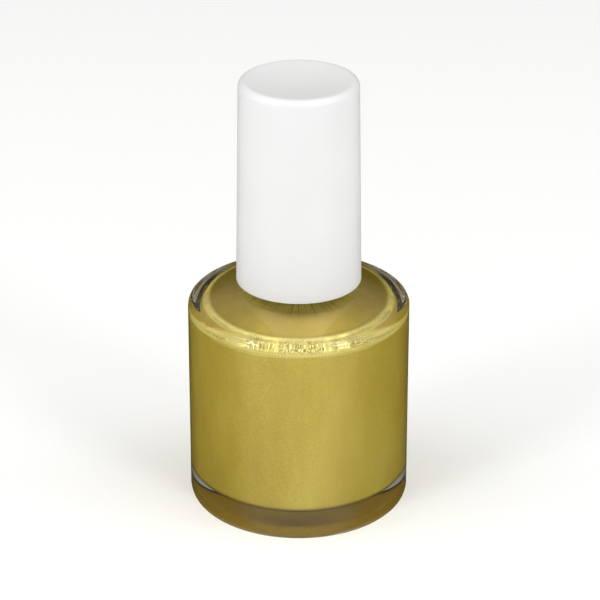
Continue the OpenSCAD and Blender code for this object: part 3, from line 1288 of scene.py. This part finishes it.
@dataclass
class Contents:
    """The lacquer, the skin it leaves above its fill, and the mixing balls in it."""

    m: Measures
    chamber: Chamber
    wetting: float = 0.03
    film: float = 0.15
    film_swing: float = 0.4
    ragged: float = 0.45
    skirt: float = 0.3
    top_gap: float = 0.5
    top_bevel: float = 0.1
    meniscus: float = 0.7

    def cut(self, gap: float, height: float, steps: int) -> tuple[Array, Array]:
        """The chamber's outline drawn in by gap and cut in two at a height.

        Args:
            gap: Distance from the glass, negative into it.
            height: Where to cut.
            steps: Steps along the straight stretches.

        Returns:
            The points up to the cut, and those from the cut upwards.
        """
        wall = self.chamber.outline(gap, steps)
        below = wall[: np.argmax(wall[:, 1] > height)]
        above = wall[len(below) :]
        share = (height - below[-1, 1]) / (above[0, 1] - below[-1, 1])
        corner = below[-1] + share * (above[0] - below[-1])
        return np.vstack([below, corner]), np.vstack([corner, above])

    def lacquer(self, finish: bpy.types.Material) -> bpy.types.Object:
        """The liquid: the chamber's own shape, closed by a level surface that curls up at the glass.

        Args:
            finish: The lacquer.

        Returns:
            The piece.
        """
        wall, _ = self.cut(-self.wetting, self.m.fill_z, 22)
        edge = wall[-1, 0]
        t = np.linspace(0, 1, 10)[1:]
        curl = np.stack(
            [edge - self.meniscus * t, self.m.fill_z - 0.5 * self.meniscus * (1 - (1 - t) ** 2)], axis=1
        )
        level = line((edge - self.meniscus, curl[-1, 1]), (0, curl[-1, 1]), 6)
        outline = profile(wall, curl, level)
        piece = revolve("gold_lacquer_fill", outline, even_angles(192), self.wander)
        return settle(piece, Body.BOTTLE, Slot.LACQUER, finish, "lacquer")

    def wander(self, u: Array, r: Array, z: Array) -> tuple[Array, Array]:
        """Follows the glass's uneven inner wall."""
        return self.chamber.wander(u, r, z), np.zeros_like(z)

    def skin(self, finish: bpy.types.Material) -> bpy.types.Object:
        """The film over the roof and throat: as thick as a coat of varnish, uneven, with a ragged upper edge.

        Args:
            finish: The lacquer of the film.

        Returns:
            The piece.
        """
        _, outer = self.cut(-self.wetting, self.m.fill_z - self.skirt, 30)
        _, inner = self.cut(self.film, self.m.fill_z - self.skirt, 30)
        top = self.m.film_z - self.top_gap
        outer = np.vstack([outer, [[outer[-1, 0], top]]])
        inner = np.vstack([inner, [[inner[-1, 0], top - self.top_bevel]]])
        loop = profile(outer, inner[::-1])
        wet_side = len(outer)

        def relief(u: Array, r: Array, z: Array) -> tuple[Array, Array]:
            """Swells the free side by a share of its thickness and frays the upper edge.

            Args:
                u: Angles.
                r: Radii of the plain section.
                z: Heights of the plain section.

            Returns:
                Changes of radius and of height.
            """
            free = np.zeros_like(r)
            free[wet_side:] = 1.0
            swell = self.film * self.film_swing * waves(u, z, seed=9, turns=14, height=2.0) * free
            near_top = smooth_step(z, self.m.neck_z - 0.8, top)
            fray = self.ragged * near_top * waves(u, 0 * z, seed=12, turns=17)
            return self.chamber.wander(u, r, z) + swell, fray

        piece = revolve("lacquer_skin", loop, even_angles(192), relief, closed=True)
        return settle(piece, Body.BOTTLE, Slot.LACQUER, finish, "lacquer_film")

    def balls(self, finish: bpy.types.Material) -> list[bpy.types.Object]:
        """The steel balls: a half circle carried round an upright axis through each ball's middle.

        Args:
            finish: The steel.

        Returns:
            The two pieces.
        """
        made = []
        for node in ("mixing_ball_1", "mixing_ball_2"):
            middle = (low(node) + high(node)) / 2
            radius = (high(node)[2] - low(node)[2]) / 2
            outline = arc((0, 0), radius, -90, 90, 24)
            outline[[0, -1], 0] = 0
            piece = revolve(node.replace("mixing", "steel"), outline, even_angles(48), None, middle=middle)
            made.append(settle(piece, Body.BOTTLE, Slot.STEEL, finish, node))
        return made


def settle(
    piece: bpy.types.Object, body: Body, slot: Slot, finish: bpy.types.Material, *nodes: str
) -> bpy.types.Object:
    """Dresses a piece, sets it on its body and hides the CAD nodes that it stands for.

    Args:
        piece: The finished piece.
        body: The body that it moves with.
        slot: Not used.
        finish: Its material.
        nodes: The CAD nodes that it replaces.

    Returns:
        The piece.
    """
    piece.data.materials.append(finish)
    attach(piece, body.value)
    if nodes:
        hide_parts(*nodes)
    log.info("%s rides on %s, %d faces", piece.name, body.value, len(piece.data.polygons))
    return piece


# ---------------------------------------------------------------- cap


@dataclass
class Closure:
    """The overcap, the threaded inner cap pressed into it, and the washer on the lip.

    The seat is the inner cap's own ceiling. Its collar above the seat holds the rod's snap head.
    """

    m: Measures
    top_r: float = 8.025
    rim_round: float = 0.9
    dish: float = 0.45
    wall: float = 0.85
    top_wall: float = 1.2
    edge_round: float = 0.15
    ribs: int = 6
    rib_l: float = 1.6
    rib_t: float = 0.8
    rib_gap: float = 0.8
    ceiling_round: float = 0.4
    seat_top_gap: float = 1.8
    seat_t: float = 1.4
    seat_hole_r: float = 2.02
    collar_bore_r: float = 2.47
    collar_r: float = 3.37
    inner_edge: float = 0.12
    inner_bore_r: float = 6.9
    inner_thread_r: float = 6.6
    lead: float = 2.12
    turns: float = 1.9
    thread_below_lip: float = 1.3
    grooves: int = 24
    groove_depth: float = 0.15
    groove_foot: float = 1.1
    groove_floor: float = 0.7
    washer_bore_r: float = 3.5
    washer_round: float = 0.2
    print_r: float = 4.6
    print_foot: float = 1.6
    print_floor: float = 0.9
    print_depth: float = 0.06

    def cap_r(self, z: Union[float, Array]) -> Union[float, Array]:
        """Outside radius of the overcap at height z."""
        share = (z - self.m.cap_z) / (self.m.cap_top_z - self.m.cap_z)
        return self.m.cap_r + (self.top_r - self.m.cap_r) * share

    def overcap(self, finish: bpy.types.Material) -> bpy.types.Object:
        """The tapered outer cap: side, rounded rim and shallow dish outside, and six ribs inside its top.

        Args:
            finish: The white plastic.

        Returns:
            The piece.
        """
        m = self.m
        top = m.cap_top_z
        dish_r = self.top_r - self.rim_round
        ceiling = top - self.dish - self.top_wall
        seat_top = high("inner_cap")[2]
        t = np.linspace(1, 0, 16)
        bowl = np.stack([dish_r * t, top - self.dish * (1 - t * t)], axis=1)
        e, c = self.edge_round, self.ceiling_round
        inner_low, inner_high = self.cap_r(m.cap_z) - self.wall, self.cap_r(ceiling) - self.wall
        outline = profile(
            line((0, ceiling), (inner_high - c, ceiling), 8),
            arc((inner_high - c, ceiling - c), c, 90, 0, 5),
            line((inner_high, ceiling - c), (inner_low, m.cap_z + e), 60),
            arc((inner_low + e, m.cap_z + e), e, 180, 270, 4),
            arc((self.cap_r(m.cap_z) - e, m.cap_z + e), e, -90, 0, 6),
            line((self.cap_r(m.cap_z), m.cap_z + e), (self.top_r, top - self.rim_round), 24),
            arc((dish_r, top - self.rim_round), self.rim_round, 0, 90, 14),
            bowl,
        )
        rib_low = seat_top - self.seat_top_gap + self.rib_gap

        def relief(u: Array, r: Array, z: Array) -> tuple[Array, Array]:
            """Draws the bore in over each rib's width, from the rib's foot up to the ceiling.

            Args:
                u: Angles.
                r: Radii of the plain section.
                z: Heights of the plain section.

            Returns:
                Changes of radius and of height.
            """
            bore = (np.abs(r - self.cap_r(z) + self.wall) < 0.05) & (z < ceiling)
            spacing = TAU / self.ribs
            off = np.abs(np.mod(u + spacing / 2, spacing) - spacing / 2) * (r - self.rib_l / 2)
            across = trapezoid(off, self.rib_t * 1.3, self.rib_t * 0.8)
            upright = smooth_step(z, rib_low - 0.1, rib_low + 0.1)
            return -self.rib_l * across * upright * bore, np.zeros_like(z)

        piece = revolve("white_overcap", outline, even_angles(288), relief)
        return settle(piece, Body.CAP, Slot.CAP, finish, "overcap")

    def inner_cap(self, finish: bpy.types.Material) -> bpy.types.Object:
        """The threaded liner cap: grip grooves outside, the thread inside, and the rod's collar on top.

        Args:
            finish: The natural plastic.

        Returns:
            The piece.
        """
        m = self.m
        foot = low("inner_cap")[2]
        collar_top = high("inner_cap")[2]
        seat_top = m.rod_top_z - self.seat_top_gap - m.touch
        seat = seat_top - self.seat_t
        outer_low = self.cap_r(foot) - self.wall - m.touch
        outer_high = self.cap_r(seat_top) - self.wall - m.touch
        head_r, barb_r, collar_r, e = self.seat_hole_r, self.collar_bore_r, self.collar_r, self.inner_edge
        outline = profile(
            line((self.inner_bore_r + e, foot), (outer_low - e, foot), 2),
            arc((outer_low - e, foot + e), e, -90, 0, 3),
            line((outer_low, foot + e), (outer_high, seat_top - e), 40),
            arc((outer_high - e, seat_top - e), e, 0, 90, 3),
            line((outer_high - e, seat_top), (collar_r, seat_top), 6),
            line((collar_r, seat_top), (collar_r, collar_top - e), 4),
            arc((collar_r - e, collar_top - e), e, 0, 90, 3),
            line((collar_r - e, collar_top), (barb_r + e, collar_top), 1),
            arc((barb_r + e, collar_top - e), e, 90, 180, 3),
            line((barb_r, collar_top - e), (barb_r, seat_top), 4),
            line((barb_r, seat_top), (head_r, seat_top), 1),
            line((head_r, seat_top), (head_r, seat), 3),
            line((head_r, seat), (self.inner_bore_r, seat), 6),
            line((self.inner_bore_r, seat), (self.inner_bore_r, foot + e), 96),
            arc((self.inner_bore_r + e, foot + e), e, 180, 270, 3),
        )
        thread = Thread(
            m.lip_z - self.thread_below_lip - self.turns * self.lead - self.lead / 2,
            self.lead,
            self.turns,
            self.inner_thread_r - self.inner_bore_r,
        )

        def relief(u: Array, r: Array, z: Array) -> tuple[Array, Array]:
            """Sinks the grip grooves in the skirt and raises the thread in the bore.

            Args:
                u: Angles.
                r: Radii of the plain section.
                z: Heights of the plain section.

            Returns:
                Changes of radius and of height.
            """
            bore = (np.abs(r - self.inner_bore_r) < TINY) & (z < seat - 0.2)
            skirt = (r > self.inner_bore_r + 0.3) & (z > foot + 0.9) & (z < seat_top + 0.01)
            spacing = TAU / self.grooves
            off = np.abs(np.mod(u + spacing / 2, spacing) - spacing / 2) * r
            groove = trapezoid(off, self.groove_foot, self.groove_floor)
            return bore * thread.relief(u, z) - self.groove_depth * skirt * groove, np.zeros_like(z)

        piece = revolve("threaded_inner_cap", outline[:-1], even_angles(288), relief, closed=True)
        return settle(piece, Body.CAP, Slot.PLASTIC, finish, "inner_cap")

    def washer(self, finish: bpy.types.Material) -> bpy.types.Object:
        """The foam washer, with the print of the lip pressed in its under side.

        Args:
            finish: The foam.

        Returns:
            The piece.
        """
        bottom, top = low("sealing_washer")[2], high("sealing_washer")[2]
        outer, inner, e = high("sealing_washer")[0], self.washer_bore_r, self.washer_round
        outline = profile(
            line((inner + e, bottom), (outer - e, bottom), 12),
            arc((outer - e, bottom + e), e, -90, 0, 4),
            arc((outer - e, top - e), e, 0, 90, 4),
            line((outer - e, top), (inner + e, top), 6),
            arc((inner + e, top - e), e, 90, 180, 4),
            arc((inner + e, bottom + e), e, 180, 270, 4),
        )

        def relief(u: Array, r: Array, z: Array) -> tuple[Array, Array]:
            """Presses in a shallow ring where the lip bears.

            Args:
                u: Angles, not used.
                r: Radii of the plain section.
                z: Heights of the plain section.

            Returns:
                Changes of radius and of height.
            """
            ring = trapezoid(r - self.print_r, self.print_foot, self.print_floor) * (z < bottom + 0.01)
            return np.zeros_like(r), self.print_depth * ring

        piece = revolve("foam_washer", outline[:-1], even_angles(120), relief, closed=True)
        return settle(piece, Body.SEAL, Slot.FOAM, finish, "sealing_washer")


# ---------------------------------------------------------------- brush


@dataclass
class Brush:
    """The moulded rod, its staple, the bristles, and the wet lacquer on them."""

    m: Measures
    flange_t: float = 1.3
    plug_l: float = 6.0
    plug_r: float = 3.4
    plug_lead: float = 0.8
    rod_top_r: float = 1.8
    rod_tip_r: float = 1.55
    hole_r: float = 1.12
    root_h: float = 3.6
    head_r: float = 2.0
    barb_r: float = 2.45
    barb_h: float = 1.8
    barb_point: float = 0.3
    edge_round: float = 0.15
    root_fillet: float = 0.3
    bristles: int = 230
    bristle_rings: int = 9
    bristle_r: float = 0.052
    bristle_sway: float = 0.09
    bristle_short: float = 0.5
    rim_short: float = 1.1
    tip_share: float = 0.62
    belly: float = 0.62
    tip_from: float = 0.72
    staple_sides: int = 20
    staple_rings: int = 14
    furrow: float = 0.16
    furrows: int = 17
    load_share: float = 0.97
    drop_h: float = 0.9
    coat: float = 0.15

    @property
    def flange_z(self) -> float:
        """Height of the flange's under side."""
        return high("sealing_washer")[2] + self.m.touch

    @property
    def plug_z(self) -> float:
        """Height of the plug's lower end."""
        return self.flange_z - self.plug_l

    def rod_r(self, z: Array) -> Array:
        """Radius of the tapered rod at height z."""
        taper = self.rod_top_r - self.rod_tip_r
        return self.rod_tip_r + taper * (z - self.m.rod_z) / (self.plug_z - self.m.rod_z)

    def rod(self, finish: bpy.types.Material) -> bpy.types.Object:
        """The rod: blind hole, tapered stem, plug, flange, neck and snap head, with moulded corners.

        Args:
            finish: The natural plastic.

        Returns:
            The piece.
        """
        m, f, e, b = self.m, self.flange_z, self.edge_round, self.root_fillet
        top = f + self.flange_t
        under_barb = m.rod_top_z - self.barb_h
        point_r = self.head_r - self.barb_point
        outline = profile(
            line((0, m.rod_z + self.root_h + m.touch), (self.hole_r, m.rod_z + self.root_h + m.touch), 3),
            line((self.hole_r, m.rod_z + self.root_h), (self.hole_r, m.rod_z + e), 6),
            arc((self.hole_r + e, m.rod_z + e), e, 180, 270, 3),
            arc((self.rod_tip_r - e, m.rod_z + e), e, -90, 0, 3),
            line((self.rod_tip_r, m.rod_z + e), (self.rod_top_r, self.plug_z - b), 30),
            arc((self.rod_top_r + b, self.plug_z - b), b, 180, 90, 4),
            line((self.rod_top_r + b, self.plug_z), (self.plug_r - self.plug_lead, self.plug_z), 2),
            line((self.plug_r - self.plug_lead, self.plug_z), (self.plug_r, self.plug_z + self.plug_lead), 4),
            line((self.plug_r, self.plug_z + self.plug_lead), (self.plug_r, f), 8),
            line((self.plug_r, f), (m.flange_r - e, f), 4),
            arc((m.flange_r - e, f + e), e, -90, 0, 3),
            arc((m.flange_r - e, top - e), e, 0, 90, 3),
            line((m.flange_r - e, top), (self.head_r, top), 4),
            line((self.head_r, top), (self.head_r, under_barb), 3),
            line((self.head_r, under_barb), (self.barb_r - e, under_barb), 1),
            arc((self.barb_r - e, under_barb + e), e, -90, 0, 3),
            line((self.barb_r, under_barb + e), (point_r, m.rod_top_z), 6),
            line((point_r, m.rod_top_z), (0, m.rod_top_z), 3),
        )
        piece = revolve("brush_stem", outline, even_angles(96), None)
        return settle(piece, Body.CAP, Slot.PLASTIC, finish, "brush_rod")

    def wet_coat(self, finish: bpy.types.Material) -> bpy.types.Object:
        """The lacquer on the rod: a thin sleeve with runs in it and a wavy upper edge.

        Args:
            finish: The lacquer.

        Returns:
            The piece.
        """
        bottom, top = low("rod_coat")[2], high("rod_coat")[2]
        z = np.linspace(bottom, top - 0.3, 40)
        inner, outer = self.rod_r(z) + self.m.touch, self.rod_r(z) + self.m.touch + self.coat
        loop = np.vstack([np.stack([outer, z], axis=1), np.stack([inner, z], axis=1)[::-1]])

        def relief(u: Array, r: Array, z: Array) -> tuple[Array, Array]:
            """Thins the coat between the runs and lets its upper edge wave.

            Args:
                u: Angles.
                r: Radii of the plain section.
                z: Heights of the plain section.

            Returns:
                Changes of radius and of height.
            """
            face = r > self.rod_r(z) + self.m.touch + self.coat / 2
            thin = smooth_step(waves(u, z, seed=21, turns=5, height=6.0), -0.8, 0.9)
            ends = smooth_step(z, bottom, bottom + 0.3) * (1 - smooth_step(z, top - 0.9, top - 0.3))
            upper = smooth_step(z, top - 3, top - 0.3)
            swell = self.coat * (ends * (0.45 + 0.55 * thin) - 1) * 0.85 * face
            return swell, 0.28 * upper * waves(u, 0 * z, seed=5, turns=6)

        piece = revolve("rod_lacquer_coat", loop, even_angles(96), relief, closed=True)
        return settle(piece, Body.COAT, Slot.LACQUER, finish, "rod_coat")

    def staple(self, finish: bpy.types.Material) -> bpy.types.Object:
        """The staple: a flat strip with rounded edges, carried across the hole and bowed a little.

        Its section is a superellipse, |y|^5 + |z|^5 = 1, and its bow is 1 - s^2 along its length s.

        Args:
            finish: The steel.

        Returns:
            The piece.
        """
        a, b = low("tuft_anchor"), high("tuft_anchor")
        middle, half = (a + b) / 2, (b - a) / 2
        sides, rings = self.staple_sides, self.staple_rings
        angle = np.arange(sides) * TAU / sides
        flat_y = np.sign(np.cos(angle)) * np.abs(np.cos(angle)) ** 0.4
        flat_z = np.sign(np.sin(angle)) * np.abs(np.sin(angle)) ** 0.4
        s = np.linspace(-1, 1, rings)[:, None]
        fade = np.where(np.abs(s) < 1, 1.0, 0.85)
        x = middle[0] + half[0] * s + 0 * angle[None]
        y = middle[1] + half[1] * flat_y[None] * fade
        z = middle[2] + half[2] * (flat_z[None] * fade * 0.9 + 0.1 * (1 - s * s) - 0.05)
        points = np.stack([x, y, z], axis=-1).reshape(-1, 3)
        ends = np.array([np.arange(sides)[::-1], np.arange(sides) + (rings - 1) * sides])
        piece = make_object("tuft_staple", points, [grid_faces(rings, sides), ends])
        return settle(piece, Body.CAP, Slot.STEEL, finish, "tuft_anchor")

    def envelope(self, z: Array) -> Array:
        """Outline of the bundle: held tight in the rod, full below it, and drawn in to a rounded tip.

        Args:
            z: Heights.

        Returns:
            The bundle's radius at each height.
        """
        m = self.m
        length = m.rod_z - m.tuft_z
        t = np.clip((m.rod_z - z) / length, 0, 1)
        held = self.hole_r - 0.04
        full = m.tuft_r - 0.05
        swell = held + (full - held) * smooth_step(t, 0.0, self.belly)
        return swell * (1 - (1 - self.tip_share) * smooth_step(t, self.tip_from, 1.0))

    def tuft(self, finish: bpy.types.Material) -> bpy.types.Object:
        """The filaments: set out on a sunflower spiral, each follows the bundle's outline with a small sway.

        Filament i of n starts at radius sqrt(i / n) and i golden angles round. Its sway is a sine of the way
        down. A real filament is about 0.07 mm thick and a tuft has some 300; here they are fewer and thicker.

        Args:
            finish: The wet filament.

        Returns:
            The piece.
        """
        m = self.m
        rng = np.random.default_rng(31)
        n = self.bristles
        share = np.sqrt((np.arange(n) + 0.5) / n)[:, None]
        turn = (np.arange(n) * math.pi * (3 - math.sqrt(5)))[:, None]
        length = m.rod_z - m.tuft_z
        short = rng.uniform(0, self.bristle_short, (n, 1)) + self.rim_short * share**4
        top = m.tuft_top_z - 0.05
        t = np.linspace(0, 1, self.bristle_rings)[None]
        z = top + (m.tuft_z + short - top) * t
        free = np.clip((m.rod_z - z) / length, 0, 1)
        reach = rng.uniform(-self.bristle_sway, self.bristle_sway, (n, 1))
        sway = free * reach * np.sin(rng.uniform(2, 4, (n, 1)) * free + rng.uniform(0, 6, (n, 1)))
        r = share * (self.envelope(z) - self.bristle_r) * (1 - np.abs(sway) * 0.5)
        a = turn + sway / np.maximum(share, 0.3)
        paths = np.stack([r * np.cos(a), r * np.sin(a), z], axis=-1)
        radii = self.bristle_r * (1 - 0.45 * smooth_step(t, 0.75, 1.0)) * np.ones((n, 1))
        piece = tubes("bristle_filaments", paths, radii)
        return settle(piece, Body.CAP, Slot.BRISTLE, finish, "bristle_tuft")

    def load(self, finish: bpy.types.Material) -> bpy.types.Object:
        """The lacquer between the filaments: the bundle's outline, furrowed, ending in a rounded drop.

        Args:
            finish: The lacquer.

        Returns:
            The piece.
        """
        m = self.m
        top, tip = m.rod_z - 0.1, m.tuft_z + 0.1
        z = np.linspace(tip + self.drop_h, top, 60)
        drop = arc((0, tip + self.drop_h), self.drop_h, -90, 0, 10)
        drop[:, 0] *= self.envelope(z[:1])[0] * self.load_share / self.drop_h
        drop[0, 0] = 0
        side = np.stack([self.envelope(z) * self.load_share, z], axis=1)
        outline = profile(drop, side, line((side[-1, 0], top), (0, top), 4))

        def relief(u: Array, r: Array, z: Array) -> tuple[Array, Array]:
            """Furrows between clumps of filaments, deepest at mid length.

            Args:
                u: Angles.
                r: Radii of the plain section.
                z: Heights of the plain section.

            Returns:
                Changes of radius and of height.
            """
            depth = self.furrow * smooth_step(z, tip + 0.2, tip + 3) * (r > 0.5)
            phase = self.furrows * u + 0.25 * z + 1.4 * waves(u, z, seed=8, turns=3)
            return -depth * (0.5 + 0.5 * np.cos(phase)), np.zeros_like(z)

        piece = revolve("brush_lacquer_load", outline, even_angles(136), relief)
        return settle(piece, Body.CAP, Slot.LACQUER, finish)


# ---------------------------------------------------------------- studio


@dataclass
class Lamp:
    """A rectangular softbox aimed at the object's middle, placed by angles seen from there."""

    name: str
    azimuth: float
    elevation: float
    distance: float
    width: float
    height: float
    power: float
    seen_through_glass: bool = True

    def build(self, aim: Vector) -> bpy.types.Object:
        """Places the lamp.

        Args:
            aim: Point that it faces, in metres.

        Returns:
            The lamp object.
        """
        data = bpy.data.lights.new(self.name, "AREA")
        data.shape, data.size, data.size_y = "RECTANGLE", self.width, self.height
        data.energy = self.power
        lamp = bpy.data.objects.new(self.name, data)
        lamp.visible_transmission = self.seen_through_glass
        a, e = math.radians(self.azimuth), math.radians(self.elevation)
        way = Vector((math.sin(a) * math.cos(e), -math.cos(a) * math.cos(e), math.sin(e)))
        lamp.location = aim + way * self.distance
        lamp.rotation_euler = way.to_track_quat("Z", "Y").to_euler()
        bpy.context.scene.collection.objects.link(lamp)
        return lamp


@dataclass
class Studio:
    """White paper floor, light tent, softboxes and camera.

    Lengths here are in metres. The tent's bands are shares of the way from straight down to straight up, and
    its opening fades in between two shares of the way to the front.
    """

    aim_share: float = 0.478
    camera_distance: float = 0.3785
    camera_elevation: float = 25.66
    lens: float = 167.5
    shift_x: float = 0.002
    floor_size: float = 6.0
    tent_front: str = "ffffff"
    tent_above: str = "dcdcda"
    tent_below: str = "3c3524"
    tent_under: str = "fff2cc"
    backdrop: str = "eeeeee"
    tent_strength: float = 0.6
    band_heights: tuple[float, float, float, float] = (0.06, 0.2, 0.62, 0.82)
    opening: tuple[float, float] = (-0.2, -0.75)

    def tent(self) -> bpy.types.World:
        """The light tent round the table: a bright opening in front, grey above and dark below.

        Behind the table hangs a plain backdrop, as light as the far end of the paper.

        Returns:
            The world.
        """
        world = bpy.data.worlds.new("light_tent")
        world.use_nodes = True
        tree = world.node_tree
        tree.nodes.clear()
        way = put(tree, "ShaderNodeTexCoord").outputs["Generated"]
        parts = put(tree, "ShaderNodeSeparateXYZ", links={"Vector": way})
        height = put(
            tree, "ShaderNodeMapRange", {"From Min": -1.0, "From Max": 1.0}, {"Value": parts.outputs["Z"]}
        )
        walls = (self.tent_under, self.tent_below, self.tent_below, self.tent_above)
        bands = list(zip(self.band_heights, walls))
        around = put(tree, "ShaderNodeValToRGB", {"stops": bands}, {"Fac": height.outputs[0]})
        opening = put(
            tree,
            "ShaderNodeMapRange",
            {
                "From Min": self.opening[0],
                "From Max": self.opening[1],
                "interpolation_type": "SMOOTHSTEP",
            },
            {"Value": parts.outputs["Y"]},
        )
        colour = put(
            tree,
            "ShaderNodeMixRGB",
            {"Color2": linear(self.tent_front)},
            {"Fac": opening.outputs[0], "Color1": around.outputs["Color"]},
        )
        rays = put(tree, "ShaderNodeLightPath")
        seen = put(
            tree,
            "ShaderNodeMixRGB",
            {"Color2": linear(self.backdrop)},
            {"Fac": rays.outputs["Is Camera Ray"], "Color1": colour.outputs["Color"]},
        )
        light = put(
            tree, "ShaderNodeBackground", {"Strength": self.tent_strength}, {"Color": seen.outputs["Color"]}
        )
        put(tree, "ShaderNodeOutputWorld", links={"Surface": light.outputs[0]})
        return world

    def build(self, paper: bpy.types.Material) -> None:
        """Sets up the floor, world, lamps and camera.

        Args:
            paper: The floor's material.
        """
        scene = bpy.context.scene
        scene.view_settings.view_transform = "Standard"
        half = self.floor_size / 2 / MM
        corners = np.array([[-half, -half, 0], [half, -half, 0], [half, half, 0], [-half, half, 0]])
        floor = make_object("paper_floor", corners, [np.array([[0, 1, 2, 3]])])
        floor.data.materials.append(paper)
        floor.visible_glossy = floor.visible_transmission = False
        scene.world = self.tent()
        aim = Vector((0, 0, self.aim_share * CAD_BOX[1][2]))
        # Name, azimuth and elevation in degrees, distance, width and height in metres, power in watts.
        for lamp in (
            Lamp("left_softbox", -50, 30, 0.75, 0.17, 0.17, 1.2),
            Lamp("right_softbox", 44, 30, 0.75, 0.17, 0.17, 1.15),
            Lamp("left_side", -85, 15, 0.9, 0.6, 0.6, 1.3, seen_through_glass=False),
            Lamp("right_side", 85, 15, 0.9, 0.6, 0.6, 1.3, seen_through_glass=False),
            Lamp("top_left", -75, 62, 0.8, 0.4, 0.4, 1.35),
            Lamp("top_right", 75, 62, 0.8, 0.4, 0.4, 1.35),
            Lamp("rear_left_lamp", -113, 14, 0.9, 0.1, 0.16, 0.1),
        ):
            lamp.build(aim)
        data = bpy.data.cameras.new("camera")
        data.lens, data.sensor_width, data.shift_x = self.lens, 36.0, self.shift_x
        camera = bpy.data.objects.new("camera", data)
        e = math.radians(self.camera_elevation)
        way = Vector((0, -math.cos(e), math.sin(e)))
        camera.location = aim + way * self.camera_distance
        camera.rotation_euler = way.to_track_quat("Z", "Y").to_euler()
        scene.collection.objects.link(camera)
        scene.camera = camera


def main() -> None:
    """Builds the studio and every sub-assembly in order."""
    logging.basicConfig(level=logging.INFO, format="%(name)s: %(message)s")
    Studio().build(StudioPaper("white_paper").material())
    measures = Measures()
    chamber = Chamber(measures)

    lacquer = PearlLacquer("pearl_gold_lacquer").material()
    natural = MouldedPlastic("natural_polyethylene", "ecebe4", "e3e1d8", roughness=0.45).material()
    steel = PolishedSteel("stainless_steel").material()

    GlassBottle(measures, chamber).build(FlintGlass("flint_glass").material())
    contents = Contents(measures, chamber)
    contents.lacquer(lacquer)
    contents.skin(ClungLacquer("clung_gold_lacquer").material())
    contents.balls(steel)

    closure = Closure(measures)
    closure.overcap(MouldedPlastic("white_polypropylene", "e9e9e9", "e6e6e6").material())
    closure.inner_cap(natural)
    closure.washer(LinerFoam("liner_foam").material())

    brush = Brush(measures)
    brush.rod(natural)
    brush.wet_coat(lacquer)
    brush.staple(steel)
    brush.tuft(WetFilament("wet_nylon_filament").material())
    brush.load(lacquer)


if __name__ == "__main__":
    main()
